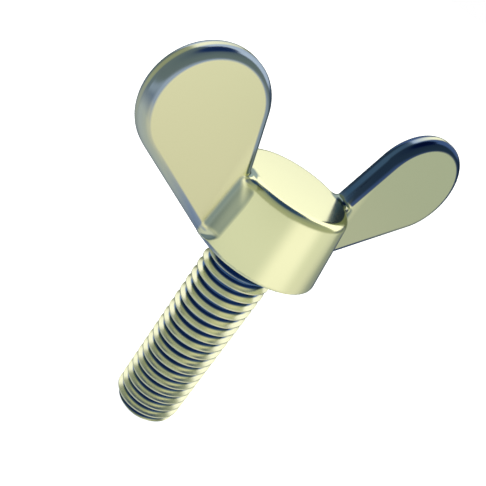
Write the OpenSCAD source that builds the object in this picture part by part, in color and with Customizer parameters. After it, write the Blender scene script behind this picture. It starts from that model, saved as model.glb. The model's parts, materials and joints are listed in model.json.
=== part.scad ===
// Wing screw: a die-cast winged head on a threaded steel stud.
// The origin is the centre of the head's bearing face, on the thread's axis.
// +Z runs along the axis towards the top of the head, and +X along the wings.

/* [Thread] */
// Nominal diameter of the metric thread
thread_d = 8; // [6:0.5:10]
// Distance from one thread crest to the next
pitch = 1.25; // [0.75:0.05:1.6]
// Amount by which the crests measure under the nominal diameter
crest_fall = 0.1; // [0.04:0.02:0.24]
// Length of the stud below the bearing face
stud_len = 25; // [10:1:80]
// Leg of the 45 degree chamfer at the stud's tip
tip_chamfer = 0.8; // [0.3:0.1:1.2]

/* [Anchor inside the head] */
// Thickness of the casting above the anchored end
crown_t = 1.8; // [0.6:0.1:2.5]
// Number of straight flutes that stop the anchor turning in the casting
flute_count = 16; // [8:1:24]
// Radius of each flute
flute_r = 0.35; // [0.2:0.05:0.5]
// Depth of the two rings that stop the anchor pulling out
ring_depth = 0.5; // [0.2:0.1:0.9]
// Height of each ring
ring_h = 0.9; // [0.4:0.1:1.2]

/* [Hub] */
// Diameter of the hub at the bearing face
hub_base_d = 15; // [12.5:0.5:20]
// Diameter of the hub at its top
hub_top_d = 12.8; // [11.2:0.1:18]
// Height of the hub above the bearing face
hub_h = 8; // [7:0.5:12]
// Rounding of the hub's top edge
hub_edge_r = 0.8; // [0.2:0.1:1.5]
// Rounding of the hub's bearing edge
hub_foot_r = 0.2; // [0.1:0.05:0.5]
// Gap all round the stud in the recess under the hub
recess_gap = 0.55; // [0.3:0.05:1]
// Depth of the recess that the thread runs out into
recess_depth = 1; // [0.5:0.1:2]

/* [Wings] */
// Span across both wings
wing_span = 40; // [36:0.5:60]
// Height of the wing tips above the bearing face
wing_top = 18.1; // [16.5:0.1:26]
// Radius of the round lobe at the end of each wing
lobe_r = 5.95; // [4.5:0.05:7]
// Thickness of each wing
wing_t = 2.35; // [1.6:0.05:4]
// Rounding along the rim of each wing
wing_edge_r = 0.9; // [0.2:0.05:1.2]
// Height of the wings' lower edge where it leaves the hub
wing_foot = 0.1; // [0.1:0.05:2]
// Radius of the hollow blend between each wing and the hub
root_r = 1.5; // [0.6:0.1:2.5]

/* [Hidden] */
$fn = 96;
rim_fn = 48;
small_fn = 24;
eps = 0.01;
over = 1;

// Thread form: a metric profile with flanks at 30 degrees to either side
crest_r = (thread_d - crest_fall) / 2;
crest_flat = pitch / 8;
root_flat = pitch / 6;
groove_depth = (pitch - crest_flat - root_flat) / 2 / tan(30);
thread_root_r = crest_r - groove_depth;
turns = floor((stud_len - tip_chamfer) / pitch);

// The thread is rolled on a blank of the pitch diameter, which the anchor keeps
blank_r = (thread_d - 0.6495 * pitch) / 2;
anchor_depth = hub_h - crown_t;
anchor_bevel = 0.4;
anchor_lap = 0.4;
ring_gap = (anchor_depth - recess_depth - 2 * ring_h) / 3;

// Hub
base_r = hub_base_d / 2;
top_r = hub_top_d / 2;
taper = atan((base_r - top_r) / hub_h);
recess_r = crest_r + recess_gap;

// Wings: each is a lobe and two straight edges that run off it to the hub
lobe_x = wing_span / 2 - lobe_r;
lobe_z = wing_top - lobe_r;
rim_r = min(wing_edge_r, 0.45 * wing_t);
lower_start = [base_r, wing_foot];
upper_start = [top_r, hub_h];

// Angle of the line from a point to the lobe's upper (+1) or lower (-1) tangent
function tangent_angle(start, side) =
    let (d = [lobe_x, lobe_z] - start)
    atan2(d[1], d[0]) + side * asin(lobe_r / norm(d));

lower_angle = tangent_angle(lower_start, -1);
upper_angle = tangent_angle(upper_start, 1);

// Point on a circle about the lobe's centre where such an edge touches it
function touch(angle, side, r) =
    [lobe_x - side * r * sin(angle), lobe_z + side * r * cos(angle)];

// Centre of the disc that fills the corner between the two straight edges
foot_reach = (lobe_r - rim_r) / sin((upper_angle - lower_angle) / 2);
foot_angle = (upper_angle + lower_angle) / 2;
foot_c = [lobe_x, lobe_z] - foot_reach * [cos(foot_angle), sin(foot_angle)];

// Hollow blends: a round tool that touches the wing's face and the hub's side
function blend_x(r) = sqrt(pow(r + root_r, 2) - pow(wing_t / 2 + root_r, 2));
blend_y = wing_t / 2 + root_r;
blend_lean = atan((blend_x(base_r) - blend_x(top_r)) / hub_h);
blend_step = 0.03;

// Grooves of the thread, from the tip upwards, one pitch apart
function groove(z) = [
    [crest_r, z - (pitch - crest_flat) / 2],
    [thread_root_r, z - root_flat / 2],
    [thread_root_r, z + root_flat / 2],
    [crest_r, z + (pitch - crest_flat) / 2]
];

module anchor() {
    difference() {
        union() {
            translate([0, 0, recess_depth - anchor_lap])
                cylinder(r = blank_r, h = anchor_depth - anchor_bevel - recess_depth + anchor_lap);
            translate([0, 0, anchor_depth - anchor_bevel])
                cylinder(r1 = blank_r, r2 = blank_r - anchor_bevel, h = anchor_bevel);
        }
        for (i = [0 : flute_count - 1])
            rotate([0, 0, (i + 0.5) * 360 / flute_count])
                translate([blank_r, 0, recess_depth])
                    cylinder(r = flute_r, h = anchor_depth, $fn = small_fn);
        for (k = [0, 1])
            translate([0, 0, recess_depth + ring_gap + k * (ring_h + ring_gap)])
                difference() {
                    cylinder(r = blank_r + over, h = ring_h);
                    translate([0, 0, -eps])
                        cylinder(r = blank_r - ring_depth, h = ring_h + 2 * eps);
                }
    }
}

// The thread is drawn as one ring for each turn, so that its crests stay true
module threaded_stud() {
    start_z = tip_chamfer - stud_len;
    end_z = start_z + turns * pitch;
    color("lightgrey") union() {
        anchor();
        rotate_extrude()
            polygon(concat(
                [[0, -stud_len], [crest_r - tip_chamfer, -stud_len], [crest_r, start_z]],
                [for (k = [0 : turns - 1]) each groove(start_z + (k + 0.5) * pitch)],
                [[crest_r, end_z], [blank_r, end_z + crest_r - blank_r],
                 [blank_r, recess_depth], [0, recess_depth]]
            ));
    }
}

// Tapered hub, turned from a half profile with round edges at top and foot
module hub() {
    side = [cos(taper), sin(taper)];
    edge_c = [top_r - hub_edge_r * (1 - side[1]) / side[0], hub_h - hub_edge_r];
    low_c = [base_r - hub_foot_r * (1 + side[1]) / side[0], hub_foot_r];
    rotate_extrude() {
        polygon([
            [0, 0], [low_c[0], 0], low_c, low_c + hub_foot_r * side,
            edge_c + hub_edge_r * side, edge_c, [edge_c[0], hub_h], [0, hub_h]
        ]);
        translate(edge_c) circle(hub_edge_r);
        translate(low_c) circle(hub_foot_r);
    }
}

// Flat disc on a wing's middle plane, with the wing's thickness and round rim
module rimmed_disc(centre, r) {
    translate([centre[0], 0, centre[1]])
        rotate([90, 0, 0])
            rotate_extrude($fn = rim_fn) {
                translate([0, -wing_t / 2]) square([max(r - rim_r, eps), wing_t]);
                for (s = [-1, 1])
                    intersection() {
                        translate([max(r - rim_r, eps), s * (wing_t / 2 - rim_r)])
                            circle(rim_r, $fn = small_fn);
                        translate([0, -wing_t]) square(2 * (r + wing_t));
                    }
            }
}

// Each wing is drawn round its lobe and a small disc where its edges would meet
module wing() {
    intersection() {
        hull() {
            rimmed_disc([lobe_x, lobe_z], lobe_r);
            rimmed_disc(foot_c, rim_r);
        }
        translate([0, -wing_t, hub_foot_r]) cube([wing_span, 2 * wing_t, wing_top]);
    }
}

// Hollow blends on both faces of one wing, up to the flat of the wing
module root_blends() {
    for (s = [-1, 1])
        intersection() {
            translate([blend_x(base_r), s * blend_y, 0])
                rotate([0, -blend_lean, 0])
                    difference() {
                        translate([-root_r - blend_y, s > 0 ? -blend_y : 0, -root_r])
                            cube([root_r + blend_y, blend_y, hub_h + 2 * root_r]);
                        translate([0, 0, -2 * root_r])
                            cylinder(r = root_r - blend_step, h = hub_h + 4 * root_r);
                    }
            blend_limits(s);
        }
}

// Where a blend may lie: against the hub, and within the wing's flat
module blend_limits(s) {
    hub_touch = blend_y * base_r / (base_r + root_r);
    rotate([90, 0, 0])
        translate([0, 0, s > 0 ? -hub_touch : 0])
            linear_extrude(height = hub_touch)
                polygon([
                    [top_r / 2, hub_foot_r],
                    [base_r, hub_foot_r],
                    lower_start + rim_r * [-sin(lower_angle), cos(lower_angle)],
                    touch(lower_angle, -1, lobe_r - rim_r),
                    touch(upper_angle, 1, lobe_r - rim_r),
                    [top_r, hub_h - hub_edge_r],
                    [top_r / 2, hub_h - hub_edge_r]
                ]);
}

module wing_head() {
    color("khaki") difference() {
        union() {
            hub();
            for (turn = [0, 180])
                rotate([0, 0, turn]) {
                    wing();
                    root_blends();
                }
        }
        anchor();
        translate([0, 0, -over]) cylinder(r = recess_r, h = recess_depth + over);
    }
}

wing_head();
threaded_stud();
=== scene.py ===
import json
import math

import bmesh
import bpy
import numpy as np
from bpy.props import FloatProperty, FloatVectorProperty, IntProperty, PointerProperty
from mathutils import Matrix, Vector


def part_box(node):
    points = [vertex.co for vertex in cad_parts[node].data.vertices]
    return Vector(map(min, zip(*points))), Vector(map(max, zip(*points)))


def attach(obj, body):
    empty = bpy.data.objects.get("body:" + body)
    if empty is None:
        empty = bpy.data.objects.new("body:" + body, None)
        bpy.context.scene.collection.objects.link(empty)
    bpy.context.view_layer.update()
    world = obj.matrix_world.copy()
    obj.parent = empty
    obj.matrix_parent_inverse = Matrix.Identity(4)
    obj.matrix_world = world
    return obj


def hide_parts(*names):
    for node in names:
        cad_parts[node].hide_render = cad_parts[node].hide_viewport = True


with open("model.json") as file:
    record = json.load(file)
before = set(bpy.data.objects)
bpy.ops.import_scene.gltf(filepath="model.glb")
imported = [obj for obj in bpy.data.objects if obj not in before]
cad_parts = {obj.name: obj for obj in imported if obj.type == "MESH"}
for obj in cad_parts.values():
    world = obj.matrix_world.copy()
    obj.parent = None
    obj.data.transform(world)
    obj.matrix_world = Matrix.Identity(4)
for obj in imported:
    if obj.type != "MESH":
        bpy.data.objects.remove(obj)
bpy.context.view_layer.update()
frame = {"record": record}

bl_info = {
    "name": "Wing screw",
    "version": (1, 0, 0),
    "blender": (4, 5, 0),
    "location": "3D View > Sidebar > Wing screw",
    "description": "Builds a die-cast wing screw with a rolled thread, and its studio",
    "category": "Add Mesh",
}

MM = 0.001
HEAD_LOW, HEAD_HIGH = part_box("wing_head")
STUD_LOW, STUD_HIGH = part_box("threaded_stud")
THREAD = next(m for m in frame["record"]["mounts"] if m["name"] == "thread")

# Sizes that belong to how the pieces are cut, and that nobody would need to change
FLANK = math.radians(30)     # lean of the thread's flanks
CREST_END = -0.45 * MM       # height at which the thread's crests stop, under the head
RUN_OUT = -0.3 * MM          # height above which the groove leaves the bar
CLEAR = 0.06 * MM            # how far the groove's tool stands out past the crests
LEAD = 2                     # pitches between the groove's start and the stud's tip
ANCHOR_BEVEL = 0.4 * MM      # leg of the bevel on top of the anchored end
OVERCUT = 1 * MM             # how far a cutter runs on past the face it leaves by
FLUTE_SIDES = 16             # faces round the tool that cuts one flute
FLOOR_HALF = 3.0             # half the width of the studio's floor, in metres


def linear(hex_colour):
    """sRGB hex colour as the linear red, green and blue that Blender's sockets take."""
    parts = [int(hex_colour[i:i + 2], 16) / 255 for i in (0, 2, 4)]
    return [p / 12.92 if p <= 0.04045 else ((p + 0.055) / 1.055) ** 2.4 for p in parts]


def length(label, about, default):
    return FloatProperty(name=label, description=about, default=default, min=0.0,
                         subtype='DISTANCE', unit='LENGTH', precision=5)


def colour(label, about, hex_colour):
    return FloatVectorProperty(name=label, description=about, default=linear(hex_colour),
                               subtype='COLOR', size=3, min=0.0, max=1.0)


# ---------------------------------------------------------------- sizes and colours

class HeadSizes(bpy.types.PropertyGroup):
    span: length("Span", "Distance across both wings", HEAD_HIGH[0] - HEAD_LOW[0])
    top: length("Height", "Height of the wing tips above the bearing face", HEAD_HIGH[2])
    base_d: length("Hub base", "Diameter at the bearing face", HEAD_HIGH[1] - HEAD_LOW[1])
    top_d: length("Hub top", "Diameter at the hub's top", 12.8 * MM)
    hub_h: length("Hub height", "Height of the hub above the bearing face", 8 * MM)
    edge_r: length("Hub edge", "Rounding of the hub's top edge", 0.8 * MM)
    foot_r: length("Hub foot", "Rounding of the hub's bearing edge", 0.2 * MM)
    lobe_r: length("Lobe", "Radius of the round end of each wing", 5.95 * MM)
    wing_t: length("Wing thickness", "Thickness of each wing", 2.35 * MM)
    rim_r: length("Wing rim", "Rounding along the rim of each wing", 0.9 * MM)
    wing_foot: length("Wing foot", "Height of the wings' lower edge at the hub", 0.1 * MM)
    root_r: length("Root blend", "Hollow radius between each wing and the hub", 1.3 * MM)
    seam_r: length("Seam", "Hollow radius where the wings' own edges meet the hub", 0.25 * MM)
    fade_h: length("Blend fade", "Height over which the root blend grows from the seam", 1.6 * MM)
    recess_gap: length("Recess gap", "Gap round the stud in the recess", 0.55 * MM)
    recess_h: length("Recess depth", "Depth of the recess under the hub", 1.0 * MM)
    cell: length("Mesh cell", "Size of the faces of the casting's skin", 0.15 * MM)


class StudSizes(bpy.types.PropertyGroup):
    crest_r: length("Crest radius", "Radius over the thread's crests", THREAD["dims"]["r_mm"] * MM)
    pitch: length("Pitch", "Distance from one crest to the next", 1.25 * MM)
    stud_len: length("Length", "Length below the bearing face", -STUD_LOW[2])
    chamfer: length("Tip chamfer", "Leg of the chamfer at the tip", 0.8 * MM)
    blank_r: length("Blank radius", "Radius of the anchored end", 3.594 * MM)
    anchor_top: length("Anchor top", "Height of the anchored end", STUD_HIGH[2])
    ring_depth: length("Ring depth", "Depth of the anchor's rings", 0.5 * MM)
    ring_h: length("Ring height", "Height of the anchor's rings", 0.9 * MM)
    flute_r: length("Flute radius", "Radius of the anchor's flutes", 0.35 * MM)
    flutes: IntProperty(name="Flutes", description="Number of flutes", default=16, min=3)
    segments: IntProperty(name="Segments", description="Faces round one turn", default=120, min=24)
    start_angle: FloatProperty(name="Thread start", default=0.0, subtype='ANGLE',
                               description="Turn of the thread about its axis", unit='ROTATION')


class Finishes(bpy.types.PropertyGroup):
    film: colour("Casting", "Pale yellow passivation film on the casting", "FFFED0")
    plating: colour("Plating", "Passivated zinc plating on the stud", "ECECCC")
    # The thread root colour is painted shade, for the thread's roots and the turns under the head
    root: colour("Thread root", "Dark blue film in the roots of the thread", "4C6C98")
    floor: colour("Floor", "Studio floor", "FFFFFF")


# ---------------------------------------------------------------- nodes

# The Mix node's colour sockets share their names with its number and vector sockets
MIX_COLOUR = {"Factor": 0, "A": 6, "B": 7}


def node(tree, kind, inputs=None, **settings):
    """Adds a node with its settings, and sets or links its inputs by name or number.

    A node given for an input stands for its first output.
    """
    made = tree.nodes.new(kind)
    for key, value in settings.items():
        setattr(made, key, value)
    for key, value in (inputs or {}).items():
        socket = made.inputs[key]
        if made.bl_idname == 'ShaderNodeMix' and key in MIX_COLOUR:
            socket = made.inputs[MIX_COLOUR[key]]
        if isinstance(value, bpy.types.Node):
            value = value.outputs[0]
        if isinstance(value, bpy.types.NodeSocket):
            tree.links.new(value, socket)
        else:
            socket.default_value = value
    return made


def ramp(tree, value, low, high, stops):
    """Colour that follows a value, by (value, linear colour) stops between low and high."""
    level = node(tree, 'ShaderNodeMapRange', {"Value": value, "From Min": low, "From Max": high})
    made = node(tree, 'ShaderNodeValToRGB', {0: level})
    elements = made.color_ramp.elements
    while len(elements) < len(stops):
        elements.new(0.5)
    for element, (at, tone) in zip(elements, stops):
        element.position = (at - low) / (high - low)
        element.color = (*tone, 1)
    return made.outputs["Color"]


# ---------------------------------------------------------------- casting's shape

def round_join(a, b, r):
    """Union of two signed distances, with a hollow blend of radius r between them."""
    u = np.maximum(r - a, 0)
    v = np.maximum(r - b, 0)
    return np.maximum(r, np.minimum(a, b)) - np.hypot(u, v)


def round_meet(a, b, r):
    """Intersection of two signed distances, with a round edge of radius r."""
    u = np.maximum(r + a, 0)
    v = np.maximum(r + b, 0)
    return np.minimum(-r, np.maximum(a, b)) + np.hypot(u, v)


def wing_outline(x, z, s):
    """Signed distance to the outline of a wing: a lobe, and its two edges down to the hub."""
    centre = np.array([s.span / 2 - s.lobe_r, s.top - s.lobe_r])
    qx, qz = x - centre[0], z - centre[1]
    starts = ((s.base_d / 2, s.wing_foot, -1), (s.top_d / 2, s.hub_h, 1))
    angles = []
    for start_x, start_z, side in starts:
        dx, dz = centre - (start_x, start_z)
        angles.append(math.atan2(dz, dx) + side * math.asin(s.lobe_r / math.hypot(dx, dz)))
    middle = sum(angles) / 2
    lobe = np.hypot(qx, qz) - s.lobe_r
    edges = []
    for angle, side in zip(angles, (-1, 1)):
        along = qx * math.cos(angle) + qz * math.sin(angle)
        out = side * (qz * math.cos(angle) - qx * math.sin(angle)) - s.lobe_r
        edges.append(np.where(along < 0, out, lobe))
    upper_half = qz * math.cos(middle) > qx * math.sin(middle)
    return np.where(upper_half, edges[1], edges[0])


def head_distance(p, s):
    """Signed distance from points to the casting's outer skin, in metres."""
    x, y, z = np.abs(p[..., 0]), np.abs(p[..., 1]), p[..., 2]
    lean = math.atan2((s.base_d - s.top_d) / 2, s.hub_h)
    side = (np.hypot(x, y) - s.base_d / 2 + z * math.tan(lean)) * math.cos(lean)
    hub = round_meet(side, z - s.hub_h, s.edge_r)
    wing = round_meet(wing_outline(x, z, s), y - s.wing_t / 2, s.rim_r)
    # The blend between wing and hub fades to a seam at the bearing face and at the hub's top
    share = np.clip(np.minimum(z / s.fade_h, (s.hub_h - z) / s.edge_r + 0.5), 0, 1)
    head = round_join(hub, wing,
                      s.seam_r + (s.root_r - s.seam_r) * share * share * (3 - 2 * share))
    return round_meet(head, -z, s.foot_r)


def rounding(p, s, reach):
    """How sharply the skin bends at some points, per mm: above 0 on edges, below 0 in hollows."""
    here = head_distance(p, s)
    total = np.zeros(len(p))
    for axis in range(3):
        shift = np.zeros(3)
        shift[axis] = reach
        total += head_distance(p + shift, s) + head_distance(p - shift, s) - 2 * here
    return total / reach ** 2 * MM


def slope(distance, points, step):
    """Gradient of a distance at some points, by central differences."""
    columns = []
    for axis in range(3):
        shift = np.zeros(3)
        shift[axis] = step
        columns.append((distance(points + shift) - distance(points - shift)) / (2 * step))
    return np.stack(columns, axis=-1)


def onto_surface(distance, points, step, rounds=4):
    """Moves points down the distance's slope until they lie on its surface."""
    for _ in range(rounds):
        grad = slope(distance, points, step)
        # Where blends meet, the slope can fall near zero, and the floor of 0.1 limits the move
        steepness = np.maximum((grad ** 2).sum(-1, keepdims=True), 0.1)
        points = points - distance(points)[:, None] * grad / steepness
    return points


def skin(distance, low, high, cell, evenings=3):
    """Closed mesh of quads on the surface where the distance is zero, evened a few times."""
    low, high = np.array(low) - 2 * cell, np.array(high) + 2 * cell
    counts = np.ceil((high - low) / cell).astype(int) + 1
    axes = [low[i] + cell * np.arange(counts[i]) for i in range(3)]
    inside = distance(np.stack(np.meshgrid(*axes, indexing='ij'), axis=-1)) < 0
    corners = sum(inside[i:i - 1 or None, j:j - 1 or None, k:k - 1 or None].astype(int)
                  for i in (0, 1) for j in (0, 1) for k in (0, 1))
    crossed = (corners > 0) & (corners < 8)
    number = np.full(crossed.shape, -1)
    number[crossed] = np.arange(crossed.sum())
    points = low + cell * (np.argwhere(crossed) + 0.5)
    quads = []
    for axis in range(3):
        b, c = (axis + 1) % 3, (axis + 2) % 3
        first = np.moveaxis(inside, (axis, b, c), (0, 1, 2))
        cells = np.moveaxis(number, (axis, b, c), (0, 1, 2))
        change = first[1:, 1:-1, 1:-1].astype(int) - first[:-1, 1:-1, 1:-1]
        ring = [cells[:, :-1, :-1], cells[:, 1:, :-1], cells[:, 1:, 1:], cells[:, :-1, 1:]]
        leaving, entering = change < 0, change > 0
        quads.append(np.stack([q[leaving] for q in ring], axis=1))
        quads.append(np.stack([q[entering] for q in reversed(ring)], axis=1))
    quads = np.concatenate(quads)
    points = onto_surface(distance, points, cell / 10)
    for _ in range(evenings):
        points = onto_surface(distance, evened(points, quads), cell / 10, rounds=3)
    return points, quads


def evened(points, quads):
    """Each point moved to the mean of its neighbours along the quads' edges."""
    total = np.zeros_like(points)
    count = np.zeros(len(points))
    for k in range(4):
        a, b = quads[:, k], quads[:, (k + 1) % 4]
        for one, other in ((a, b), (b, a)):
            np.add.at(total, one, points[other])
            np.add.at(count, one, 1)
    return total / count[:, None]


# ---------------------------------------------------------------- meshes

def new_object(name, mesh):
    made = bpy.data.objects.new(name, mesh)
    bpy.context.scene.collection.objects.link(made)
    return made


def lathe(name, profile, segments):
    """Closed solid turned from (radius, height) points that start and end on the axis."""
    shape = bmesh.new()
    rings = []
    for radius, height in profile[1:-1]:
        turn = [2 * math.pi * i / segments for i in range(segments)]
        rings.append([shape.verts.new((radius * math.cos(a), radius * math.sin(a), height))
                      for a in turn])
    for lower, upper in zip(rings, rings[1:]):
        for i in range(segments):
            j = (i + 1) % segments
            shape.faces.new((lower[i], lower[j], upper[j], upper[i]))
    shape.faces.new(list(reversed(rings[0])))
    shape.faces.new(rings[-1])
    mesh = bpy.data.meshes.new(name)
    shape.to_mesh(mesh)
    shape.free()
    return new_object(name, mesh)


def applied(obj, name):
    """Plain mesh of an object as its modifiers leave it, in a new object; the old one goes."""
    bpy.context.view_layer.update()
    seen = obj.evaluated_get(bpy.context.evaluated_depsgraph_get())
    mesh = bpy.data.meshes.new_from_object(seen)
    bpy.data.objects.remove(obj)
    made = new_object(name, mesh)
    mesh.name = name
    return made


def cut(obj, cutter, name):
    """obj with the closed cutter taken out of it, as a plain mesh. The cutter goes."""
    hole = obj.modifiers.new("Cavity", 'BOOLEAN')
    hole.operation = 'DIFFERENCE'
    hole.solver = 'MANIFOLD'
    hole.object = cutter
    made = applied(obj, name)
    bpy.data.objects.remove(cutter)
    return made


def finished(obj, material, sharp_degrees, row):
    """Gives a piece its one material and its sharp edges, puts it under the root body, and hides
    the imported part of its row.
    """
    mesh = obj.data
    mesh.materials.clear()
    mesh.materials.append(material)
    mesh.polygons.foreach_set("material_index", np.zeros(len(mesh.polygons), dtype=np.int32))
    mesh.shade_smooth()
    mesh.set_sharp_from_angle(angle=math.radians(sharp_degrees))
    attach(obj, "root")
    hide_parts(row)


def anchor_profile(s, low):
    """Half section of the anchored end, from the height low up to its bevelled top."""
    gap = (s.anchor_top - low - 2 * s.ring_h) / 3
    inner = s.blank_r - s.ring_depth
    points = [(s.blank_r, low)]
    for k in (0, 1):
        foot = low + gap + k * (s.ring_h + gap)
        points += [(s.blank_r, foot), (inner, foot), (inner, foot + s.ring_h),
                   (s.blank_r, foot + s.ring_h)]
    return points + [(s.blank_r, s.anchor_top - ANCHOR_BEVEL),
                     (s.blank_r - ANCHOR_BEVEL, s.anchor_top), (0, s.anchor_top)]


def group_inputs(tree, sizes):
    """Declares a Geometry Nodes group's inputs, and its geometry output."""
    face = tree.interface
    face.new_socket("Geometry", in_out='INPUT', socket_type='NodeSocketGeometry')
    for label, kind in sizes.items():
        face.new_socket(label, in_out='INPUT', socket_type=kind)
    face.new_socket("Geometry", in_out='OUTPUT', socket_type='NodeSocketGeometry')


def set_inputs(modifier, values):
    """Sets a Geometry Nodes modifier's inputs by socket identifier."""
    for item in modifier.node_group.interface.items_tree:
        if item.item_type == 'SOCKET' and item.in_out == 'INPUT' and item.name in values:
            modifier[item.identifier] = values[item.name]


def flutes_tree():
    """Cuts evenly spaced straight flutes into a round bar."""
    tree = bpy.data.node_groups.new("Straight flutes", 'GeometryNodeTree')
    group_inputs(tree, {"Count": 'NodeSocketInt', "Bar radius": 'NodeSocketFloat',
                        "Flute radius": 'NodeSocketFloat', "Low": 'NodeSocketFloat',
                        "High": 'NodeSocketFloat', "Material": 'NodeSocketMaterial'})
    given = node(tree, 'NodeGroupInput').outputs
    ring = node(tree, 'GeometryNodeMeshCircle',
                {"Vertices": given["Count"], "Radius": given["Bar radius"]})
    tall = node(tree, 'ShaderNodeMath', {0: given["High"], 1: given["Low"]}, operation='SUBTRACT')
    total = node(tree, 'ShaderNodeMath', {0: given["High"], 1: given["Low"]}, operation='ADD')
    middle = node(tree, 'ShaderNodeMath', {0: total, 1: 0.5}, operation='MULTIPLY')
    tool = node(tree, 'GeometryNodeMeshCylinder',
                {"Vertices": FLUTE_SIDES, "Radius": given["Flute radius"], "Depth": tall})
    lift = node(tree, 'ShaderNodeCombineXYZ', {"Z": middle})
    raised = node(tree, 'GeometryNodeTransform', {"Geometry": ring, "Translation": lift})
    spread = node(tree, 'GeometryNodeInstanceOnPoints', {"Points": raised, "Instance": tool})
    tools = node(tree, 'GeometryNodeRealizeInstances', {0: spread})
    fluted = node(tree, 'GeometryNodeMeshBoolean', {0: given["Geometry"], 1: tools},
                  operation='DIFFERENCE', solver='MANIFOLD')
    whole = node(tree, 'GeometryNodeRealizeInstances', {0: fluted})
    dressed = node(tree, 'GeometryNodeSetMaterial',
                   {"Geometry": whole, "Material": given["Material"]})
    node(tree, 'NodeGroupOutput', {0: dressed})
    return tree


def thread_tree():
    """Cuts a right-hand V thread into a round bar, and runs it out at the top."""
    tree = bpy.data.node_groups.new("Rolled thread", 'GeometryNodeTree')
    group_inputs(tree, {"Pitch": 'NodeSocketFloat', "Turns": 'NodeSocketFloat',
                        "Segments": 'NodeSocketInt', "Root radius": 'NodeSocketFloat',
                        "Depth": 'NodeSocketFloat', "Root flat": 'NodeSocketFloat',
                        "Mouth": 'NodeSocketFloat', "Start height": 'NodeSocketFloat',
                        "Start angle": 'NodeSocketFloat', "Run-out height": 'NodeSocketFloat',
                        "Material": 'NodeSocketMaterial'})
    given = node(tree, 'NodeGroupInput').outputs
    rise = node(tree, 'ShaderNodeMath', {0: given["Pitch"], 1: given["Turns"]},
                operation='MULTIPLY')
    helix = node(tree, 'GeometryNodeCurveSpiral',
                 {"Resolution": given["Segments"], "Rotations": given["Turns"],
                  "Start Radius": given["Root radius"], "End Radius": given["Root radius"],
                  "Height": rise, "Reverse": True})
    shift = node(tree, 'ShaderNodeCombineXYZ', {"Z": given["Start height"]})
    turn = node(tree, 'ShaderNodeCombineXYZ', {"Z": given["Start angle"]})
    placed = node(tree, 'GeometryNodeTransform',
                  {"Geometry": helix, "Translation": shift, "Rotation": turn})
    # Above the run-out height the tool backs out of the bar within one pitch
    position = node(tree, 'GeometryNodeInputPosition')
    place = node(tree, 'ShaderNodeSeparateXYZ', {0: position}).outputs
    above = node(tree, 'ShaderNodeMath', {0: place["Z"], 1: given["Run-out height"]},
                 operation='SUBTRACT')
    risen = node(tree, 'ShaderNodeMath', {0: above, 1: 0.0}, operation='MAXIMUM')
    share = node(tree, 'ShaderNodeMath', {0: risen, 1: given["Pitch"]}, operation='DIVIDE')
    backed = node(tree, 'ShaderNodeMath', {0: share, 1: given["Depth"]}, operation='MULTIPLY')
    grow = node(tree, 'ShaderNodeMath', {0: backed, 1: given["Root radius"]},
                operation='DIVIDE')
    out_x = node(tree, 'ShaderNodeMath', {0: place["X"], 1: grow}, operation='MULTIPLY')
    out_y = node(tree, 'ShaderNodeMath', {0: place["Y"], 1: grow}, operation='MULTIPLY')
    out = node(tree, 'ShaderNodeCombineXYZ', {"X": out_x, "Y": out_y})
    path = node(tree, 'GeometryNodeSetPosition', {"Geometry": placed, "Offset": out})
    upright = node(tree, 'GeometryNodeSetCurveNormal', {"Curve": path}, mode='Z_UP')
    # Round a right-hand helix the section's X axis points away from the bar
    corners = {}
    for k, (reach, width, side) in enumerate((
            (0.0, given["Root flat"], 1), (0.0, given["Root flat"], -1),
            (given["Depth"], given["Mouth"], -1), (given["Depth"], given["Mouth"], 1))):
        half = node(tree, 'ShaderNodeMath', {0: width, 1: 0.5 * side}, operation='MULTIPLY')
        corners["Point %d" % (k + 1)] = node(
            tree, 'ShaderNodeCombineXYZ', {"X": reach, "Y": half})
    tool = node(tree, 'GeometryNodeCurvePrimitiveQuadrilateral', corners, mode='POINTS')
    groove = node(tree, 'GeometryNodeCurveToMesh',
                  {"Curve": upright, "Profile Curve": tool, "Fill Caps": True})
    threaded = node(tree, 'GeometryNodeMeshBoolean', {0: given["Geometry"], 1: groove},
                    operation='DIFFERENCE', solver='MANIFOLD')
    whole = node(tree, 'GeometryNodeRealizeInstances', {0: threaded})
    dressed = node(tree, 'GeometryNodeSetMaterial',
                   {"Geometry": whole, "Material": given["Material"]})
    node(tree, 'NodeGroupOutput', {0: dressed})
    return tree


def add_nodes(obj, tree, values):
    modifier = obj.modifiers.new(tree.name, 'NODES')
    modifier.node_group = tree
    set_inputs(modifier, values)


# ---------------------------------------------------------------- materials

def metal(name, roughness, grazing):
    """A material whose Principled shader is a metal, and the parts that finishes add to."""
    material = bpy.data.materials.new(name)
    material.use_nodes = True
    tree = material.node_tree
    shader = tree.nodes["Principled BSDF"]
    shader.inputs["Metallic"].default_value = 1.0
    shader.inputs["Roughness"].default_value = roughness
    # Light that grazes the metal loses its warmth and most of its strength
    shader.inputs["Specular Tint"].default_value = (*linear(grazing), 1)
    return material, tree, shader


# Tones by place along X in mm, with painted shade: wing faces and hub, wing edges, and rims
FACE_SHADE_TONES = ((-9.0, "E8E6BC"), (-6.8, "film"), (6.2, "film"), (8.5, "C6CCAC"))
EDGE_SHADE_TONES = ((-9.0, "E0E2C4"), (-6.8, "film"), (5.9, "film"), (6.6, "5478B0"),
              (9.5, "6484B8"), (13.0, "film"))
RIM_SHADE_TONES = ((-8.0, "98A8BC"), (8.0, "364C74"))
TONES_REACH = 20.0
# Painted shade for the hollow blends
HOLLOW_SHADE_TONE = "8C9C94"

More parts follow.
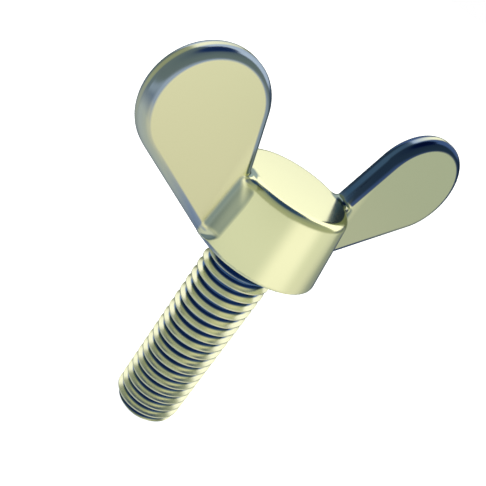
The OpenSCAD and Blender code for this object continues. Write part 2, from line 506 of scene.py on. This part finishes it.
# Where each painted shade starts and where it is full
EDGE_SHADE_BAND = (1.1 * MM, 0.8 * MM)          # distance from the wings' middle plane
WING_BAND = (6.2 * MM, 7.0 * MM)          # distance from the thread's axis, along the wings
LOW_EDGE_BAND = (7.5 * MM, 9.0 * MM)       # that distance less the height
RIM_SHADE_BAND = (0.4, 0.9)                    # rounding of the skin, per mm
HOLLOW_SHADE_BAND = (-0.05, -0.65)              # rounding of the skin, per mm
ROOT_SHADE_BAND = (0.55, 0.3)                   # share of the thread's depth, from its root
HEAD_SHADE_BAND = (-2.5 * MM, -2.25 * MM)    # height


def die_cast_zinc(film):
    """Die-cast zinc alloy, tumbled and pale yellow passivated: smooth, faintly uneven, with
    painted shade on the wings and in the hollow blends.
    """
    material, tree, shader = metal("Die-cast zinc, tumbled and passivated",
                                   roughness=0.16, grazing="C4C8CE")

    def tones(stops):
        return [(at, film if tone == "film" else linear(tone)) for at, tone in stops]

    where = node(tree, 'ShaderNodeTexCoord').outputs["Object"]
    place = node(tree, 'ShaderNodeSeparateXYZ', {0: where}).outputs
    # The pale yellow film covers the hub; the wings' flat faces are painted greyer as shade, the
    # right wing's darker than the left's
    along = node(tree, 'ShaderNodeMath', {0: place["X"], 1: MM}, operation='DIVIDE')
    faces = ramp(tree, along, -TONES_REACH, TONES_REACH, tones(FACE_SHADE_TONES))
    # Painted shade on the wings' edges: navy on the right wing's inner edge, slightly greyer on
    # the left
    edges = ramp(tree, along, -TONES_REACH, TONES_REACH, tones(EDGE_SHADE_TONES))
    across = node(tree, 'ShaderNodeMath', {0: place["Y"]}, operation='ABSOLUTE')
    on_edge = node(tree, 'ShaderNodeMapRange', {
        "Value": across, "From Min": EDGE_SHADE_BAND[0], "From Max": EDGE_SHADE_BAND[1]})
    body = node(tree, 'ShaderNodeMix', {"Factor": on_edge, "A": faces, "B": edges},
                data_type='RGBA').outputs[2]
    # Painted shade on the wings' curved rims: blue-grey on the left wing and navy on the right
    rim_shade_tone = ramp(tree, along, -TONES_REACH, TONES_REACH, tones(RIM_SHADE_TONES))
    bend = node(tree, 'ShaderNodeAttribute', attribute_name="rounding").outputs["Fac"]
    edge = node(tree, 'ShaderNodeMapRange', {
        "Value": bend, "From Min": RIM_SHADE_BAND[0], "From Max": RIM_SHADE_BAND[1]})
    out = node(tree, 'ShaderNodeMath', {0: place["X"]}, operation='ABSOLUTE')
    on_wing = node(tree, 'ShaderNodeMapRange', {
        "Value": out, "From Min": WING_BAND[0], "From Max": WING_BAND[1]})
    rim = node(tree, 'ShaderNodeMath', {0: edge, 1: on_wing}, operation='MULTIPLY')
    # The painted rim shade is weaker on the straight lower edges near the hub
    under = node(tree, 'ShaderNodeMath', {0: out, 1: place["Z"]}, operation='SUBTRACT')
    rim_shade_reach = node(tree, 'ShaderNodeMapRange', {
        "Value": under, "From Min": LOW_EDGE_BAND[0], "From Max": LOW_EDGE_BAND[1],
        "To Min": 1.0, "To Max": 0.3})
    rim_shade = node(tree, 'ShaderNodeMath', {0: rim, 1: rim_shade_reach}, operation='MULTIPLY')
    rim_shaded = node(tree, 'ShaderNodeMix', {"Factor": rim_shade, "A": body, "B": rim_shade_tone},
                  data_type='RGBA').outputs[2]
    # Painted shade in the hollow blends: blue-grey where the skin bends inward
    hollow = node(tree, 'ShaderNodeMapRange', {
        "Value": bend, "From Min": HOLLOW_SHADE_BAND[0], "From Max": HOLLOW_SHADE_BAND[1]})
    coat_and_shade = node(tree, 'ShaderNodeMix', {"Factor": hollow, "A": rim_shaded,
                                        "B": (*linear(HOLLOW_SHADE_TONE), 1)}, data_type='RGBA')
    tree.links.new(coat_and_shade.outputs[2], shader.inputs["Base Color"])
    # Soft dimples left by the tumbling media
    dimple = 1.5 * MM
    dimples = node(tree, 'ShaderNodeTexNoise',
                   {"Vector": where, "Scale": 1 / dimple, "Detail": 2.0})
    bump = node(tree, 'ShaderNodeBump',
                {"Height": dimples, "Strength": 0.05, "Distance": 0.05 * MM})
    tree.links.new(bump.outputs[0], shader.inputs["Normal"])
    return material


def rolled_steel(tint, root_shade_tone, root_r, crest_r):
    """Cold-formed steel, thread rolled, zinc plated and passivated: satin, with painted shade in
    the thread's roots and on the last turns under the head.
    """
    material, tree, shader = metal("Steel, thread-rolled and zinc plated",
                                   roughness=0.2, grazing="8C949C")
    where = node(tree, 'ShaderNodeTexCoord').outputs["Object"]
    flat = node(tree, 'ShaderNodeVectorMath', {0: where, 1: (1, 1, 0)}, operation='MULTIPLY')
    radius = node(tree, 'ShaderNodeVectorMath', {0: flat}, operation='LENGTH').outputs["Value"]
    # Painted shade: dark blue in the thread's roots, none on the crests and flanks
    depth = crest_r - root_r
    root_shade = node(tree, 'ShaderNodeMapRange', {
        "Value": radius, "From Min": root_r + ROOT_SHADE_BAND[0] * depth,
        "From Max": root_r + ROOT_SHADE_BAND[1] * depth}, interpolation_type='SMOOTHSTEP')
    # Painted shade: the same dark blue all over the last turns under the head
    height = node(tree, 'ShaderNodeSeparateXYZ', {0: where}).outputs["Z"]
    head_shade = node(tree, 'ShaderNodeMapRange', {
        "Value": height, "From Min": HEAD_SHADE_BAND[0], "From Max": HEAD_SHADE_BAND[1]})
    dark = node(tree, 'ShaderNodeMath', {0: root_shade, 1: head_shade}, operation='MAXIMUM')
    coat_and_shade = node(tree, 'ShaderNodeMix', {"Factor": dark, "A": (*tint, 1), "B": (*root_shade_tone, 1)},
                data_type='RGBA')
    tree.links.new(coat_and_shade.outputs[2], shader.inputs["Base Color"])
    # The plating's grain is too fine to show at its real size, and is drawn coarser
    grain = 0.4 * MM
    grains = node(tree, 'ShaderNodeTexNoise',
                  {"Vector": where, "Scale": 1 / grain, "Detail": 2.0})
    bump = node(tree, 'ShaderNodeBump',
                {"Height": grains, "Strength": 0.03, "Distance": 0.02 * MM})
    tree.links.new(bump.outputs[0], shader.inputs["Normal"])
    return material


# ---------------------------------------------------------------- light

def panel_group():
    """Mask of a soft-edged light panel, given by its place in the sky and its size in degrees."""
    tree = bpy.data.node_groups.new("Light panel", 'ShaderNodeTree')
    face = tree.interface
    face.new_socket("Direction", in_out='INPUT', socket_type='NodeSocketVector')
    for label in ("Azimuth", "Elevation", "Half width", "Half height", "Edge"):
        face.new_socket(label, in_out='INPUT', socket_type='NodeSocketFloat')
    face.new_socket("Mask", in_out='OUTPUT', socket_type='NodeSocketFloat')
    given = node(tree, 'NodeGroupInput').outputs

    def within(offset, half):
        start = node(tree, 'ShaderNodeMath', {0: half, 1: given["Edge"]}, operation='ADD')
        end = node(tree, 'ShaderNodeMath', {0: half, 1: given["Edge"]}, operation='SUBTRACT')
        away = node(tree, 'ShaderNodeMath', {0: offset}, operation='ABSOLUTE')
        return node(tree, 'ShaderNodeMapRange',
                    {"Value": away, "From Min": start, "From Max": end},
                    interpolation_type='SMOOTHSTEP')

    angle = node(tree, 'ShaderNodeMath', {0: given["Azimuth"]}, operation='RADIANS')
    turn = node(tree, 'ShaderNodeMath', {0: angle, 1: -1.0}, operation='MULTIPLY')
    faced = node(tree, 'ShaderNodeVectorRotate', {"Vector": given["Direction"], "Angle": turn},
                 rotation_type='Z_AXIS')
    part = node(tree, 'ShaderNodeSeparateXYZ', {0: faced}).outputs
    round_z = node(tree, 'ShaderNodeMath', {0: part["Y"], 1: part["X"]}, operation='ARCTAN2')
    azimuth = node(tree, 'ShaderNodeMath', {0: round_z}, operation='DEGREES')
    rise = node(tree, 'ShaderNodeMath', {0: part["Z"]}, operation='ARCSINE')
    height = node(tree, 'ShaderNodeMath', {0: rise}, operation='DEGREES')
    elevation = node(tree, 'ShaderNodeMath', {0: height, 1: given["Elevation"]},
                     operation='SUBTRACT')
    mask = node(tree, 'ShaderNodeMath', {0: within(azimuth, given["Half width"]),
                                         1: within(elevation, given["Half height"])},
                operation='MULTIPLY')
    node(tree, 'NodeGroupOutput', {0: mask})
    return tree


# Studio light from the ground up: elevation in degrees, and colour
SKY = ((-90, "C4CCD4"), (-38, "C4CCD4"), (-22, "A8B0B4"), (-10, "A8B0A0"), (4, "A0A692"),
       (30, "9AA28E"), (56, "848E86"), (68, "2C4870"), (90, "1C3460"))

# Panels: name, azimuth, elevation, half width, half height, edge, colour, strength
PANELS = (
    ("Warm ground to the right", -60, -24, 45, 18, 18, "E2E2DA", 1.0),
    ("Horizon strip", -100, -10, 95, 6, 4, "D8DCD4", 1.0),
    ("Key", -76, -10, 24, 8, 14, "FFFFFA", 1.0),
    ("Flag under the back softbox", 10, 8, 26, 12, 8, "6C7880", 1.0),
    ("Back softbox", 42, 37, 60, 26, 4, "FFFFFA", 1.25),
    ("Dark ground behind", 46, -26, 24, 20, 8, "3C4A6C", 1.0),
)


def studio_world():
    """White to the eye, with the light panels and the deep blue dark that metal mirrors."""
    world = bpy.data.worlds.new("Studio")
    world.use_nodes = True
    tree = world.node_tree
    tree.nodes.clear()
    direction = node(tree, 'ShaderNodeTexCoord').outputs["Generated"]
    height = node(tree, 'ShaderNodeSeparateXYZ', {0: direction}).outputs["Z"]
    rise = node(tree, 'ShaderNodeMath', {0: height}, operation='ARCSINE')
    elevation_here = node(tree, 'ShaderNodeMath', {0: rise}, operation='DEGREES')
    light = ramp(tree, elevation_here, -90, 90, [(at, linear(tone)) for at, tone in SKY])
    group = panel_group()
    for label, azimuth, elevation, half_width, half_height, edge, hex_colour, strength in PANELS:
        mask = node(tree, 'ShaderNodeGroup', node_tree=group, label=label)
        for key, value in (("Azimuth", azimuth), ("Elevation", elevation), ("Edge", edge),
                           ("Half width", half_width), ("Half height", half_height)):
            mask.inputs[key].default_value = value
        tree.links.new(direction, mask.inputs["Direction"])
        lit = [c * strength for c in linear(hex_colour)]
        light = node(tree, 'ShaderNodeMix', {"Factor": mask, "A": light, "B": (*lit, 1)},
                     data_type='RGBA').outputs[2]
    mirrored = node(tree, 'ShaderNodeBackground', {"Color": light, "Strength": 1.0})
    seen = node(tree, 'ShaderNodeBackground', {"Color": (1, 1, 1, 1), "Strength": 1.0})
    eye = node(tree, 'ShaderNodeLightPath').outputs["Is Camera Ray"]
    mixed = node(tree, 'ShaderNodeMixShader', {0: eye, 1: mirrored, 2: seen})
    node(tree, 'ShaderNodeOutputWorld', {"Surface": mixed})
    return world


# ---------------------------------------------------------------- operators

class WINGSCREW_OT_threaded_stud(bpy.types.Operator):
    """Turn the stud's blank, cut its thread and flute its anchored end"""
    bl_idname = "wingscrew.threaded_stud"
    bl_label = "Threaded stud"

    def execute(self, context):
        s = context.scene.wingscrew_stud
        head = context.scene.wingscrew_head
        crest_flat, root_flat = s.pitch / 8, s.pitch / 6
        depth = (s.pitch - crest_flat - root_flat) / 2 / math.tan(FLANK)
        profile = [(0, -s.stud_len), (s.crest_r - s.chamfer, -s.stud_len),
                   (s.crest_r, s.chamfer - s.stud_len), (s.crest_r, CREST_END),
                   (s.blank_r, CREST_END + s.crest_r - s.blank_r)]
        blank = lathe("Stud blank", profile + anchor_profile(s, head.recess_h), s.segments)
        looks = context.scene.wingscrew_finishes
        finish = rolled_steel(looks.plating, looks.root, s.crest_r - depth, s.crest_r)
        add_nodes(blank, thread_tree(), {
            "Pitch": s.pitch, "Turns": math.ceil(s.stud_len / s.pitch) + LEAD + 1.0,
            "Segments": s.segments, "Root radius": s.crest_r - depth, "Depth": depth + CLEAR,
            "Root flat": root_flat,
            "Mouth": s.pitch - crest_flat + 2 * CLEAR * math.tan(FLANK),
            "Start height": -s.stud_len - LEAD * s.pitch, "Start angle": s.start_angle,
            "Run-out height": RUN_OUT, "Material": finish})
        add_nodes(blank, flutes_tree(), {
            "Count": s.flutes, "Bar radius": s.blank_r, "Flute radius": s.flute_r,
            "Low": head.recess_h, "High": s.anchor_top + OVERCUT, "Material": finish})
        stud = applied(blank, "threaded_stud_rolled")
        finished(stud, finish, sharp_degrees=30, row="threaded_stud")
        return {'FINISHED'}


class WINGSCREW_OT_wing_head(bpy.types.Operator):
    """Cast the hub and both wings in one skin, and core out the cavity and recess"""
    bl_idname = "wingscrew.wing_head"
    bl_label = "Wing head"

    def execute(self, context):
        s = context.scene.wingscrew_head
        stud = context.scene.wingscrew_stud
        points, quads = skin(lambda p: head_distance(p, s), HEAD_LOW, HEAD_HIGH, s.cell)
        mesh = bpy.data.meshes.new("Casting")
        mesh.from_pydata(points.tolist(), [], quads.tolist())
        casting = new_object("Casting", mesh)
        recess_r = stud.crest_r + s.recess_gap
        core = lathe("Core", [(0, -OVERCUT), (recess_r, -OVERCUT), (recess_r, s.recess_h)]
                     + anchor_profile(stud, s.recess_h), stud.segments)
        finish = die_cast_zinc(context.scene.wingscrew_finishes.film)
        add_nodes(core, flutes_tree(), {
            "Count": stud.flutes, "Bar radius": stud.blank_r, "Flute radius": stud.flute_r,
            "Low": s.recess_h, "High": stud.anchor_top + OVERCUT, "Material": finish})
        head = cut(casting, applied(core, "Fluted core"), "wing_head_casting")
        corners = np.empty(len(head.data.vertices) * 3)
        head.data.vertices.foreach_get("co", corners)
        bend = rounding(corners.reshape(-1, 3), s, reach=2.5 * s.cell)
        head.data.attributes.new("rounding", 'FLOAT', 'POINT').data.foreach_set("value", bend)
        finished(head, finish, sharp_degrees=50, row="wing_head")
        return {'FINISHED'}


class WINGSCREW_OT_studio(bpy.types.Operator):
    """Set up the floor, the soft lights and the camera"""
    bl_idname = "wingscrew.studio"
    bl_label = "Studio"

    def execute(self, context):
        scene = context.scene
        floor_mesh = bpy.data.meshes.new("studio_floor")
        corners = [(x * FLOOR_HALF, y * FLOOR_HALF, 0)
                   for x, y in ((-1, -1), (1, -1), (1, 1), (-1, 1))]
        floor_mesh.from_pydata(corners, [], [(0, 1, 2, 3)])
        floor_mesh.transform(Matrix.Translation((0, 0, STUD_LOW[2])))
        floor = new_object("studio_floor", floor_mesh)
        # Matt white paper, lit so evenly from all sides that nothing shades it
        paper = bpy.data.materials.new("White paper sweep")
        paper.use_nodes = True
        shader = paper.node_tree.nodes["Principled BSDF"]
        shader.inputs["Base Color"].default_value = (*scene.wingscrew_finishes.floor, 1)
        shader.inputs["Roughness"].default_value = 1.0
        shader.inputs["Specular IOR Level"].default_value = 0.0
        shader.inputs["Emission Color"].default_value = (*scene.wingscrew_finishes.floor, 1)
        shader.inputs["Emission Strength"].default_value = 1.0
        floor_mesh.materials.append(paper)
        floor.visible_glossy = False

        scene.world = studio_world()
        scene.view_settings.view_transform = 'Standard'

        data = bpy.data.cameras.new("camera")
        camera = bpy.data.objects.new("camera", data)
        scene.collection.objects.link(camera)
        data.sensor_width = 36.0
        data.lens = 51.09
        data.clip_start = 0.001
        aim_at(camera, target=Vector((-0.012 * MM, 1.545 * MM, -1.125 * MM)),
               azimuth=-133.84, elevation=25.44, distance=73.15 * MM, roll=35.11)
        scene.camera = camera
        return {'FINISHED'}


def aim_at(camera, target, azimuth, elevation, distance, roll):
    """Puts the camera at a direction and distance from the target, and rolls it."""
    a, e = math.radians(azimuth), math.radians(elevation)
    back = Vector((math.cos(a) * math.cos(e), math.sin(a) * math.cos(e), math.sin(e)))
    facing = back.to_track_quat('Z', 'Y').to_matrix().to_4x4()
    camera.matrix_world = (Matrix.Translation(target + back * distance) @ facing
                           @ Matrix.Rotation(math.radians(roll), 4, 'Z'))


class WINGSCREW_PT_panel(bpy.types.Panel):
    """Sizes, colours and steps of the wing screw"""
    bl_idname = "WINGSCREW_PT_panel"
    bl_label = "Wing screw"
    bl_space_type = 'VIEW_3D'
    bl_region_type = 'UI'
    bl_category = "Wing screw"

    def draw(self, context):
        for step in OPERATORS:
            self.layout.operator(step.bl_idname)
        for name, group in GROUPS.items():
            box = self.layout.box()
            for key in group.__annotations__:
                box.prop(getattr(context.scene, name), key)


GROUPS = {"wingscrew_head": HeadSizes, "wingscrew_stud": StudSizes, "wingscrew_finishes": Finishes}
OPERATORS = (WINGSCREW_OT_studio, WINGSCREW_OT_threaded_stud, WINGSCREW_OT_wing_head)


def register():
    for group in GROUPS.values():
        bpy.utils.register_class(group)
    for cls in (*OPERATORS, WINGSCREW_PT_panel):
        bpy.utils.register_class(cls)
    for name, group in GROUPS.items():
        setattr(bpy.types.Scene, name, PointerProperty(type=group))


def unregister():
    for name in GROUPS:
        delattr(bpy.types.Scene, name)
    for cls in (WINGSCREW_PT_panel, *OPERATORS, *GROUPS.values()):
        bpy.utils.unregister_class(cls)


def main():
    register()
    bpy.ops.wingscrew.studio()
    bpy.ops.wingscrew.threaded_stud()
    bpy.ops.wingscrew.wing_head()


if __name__ == "__main__":
    main()
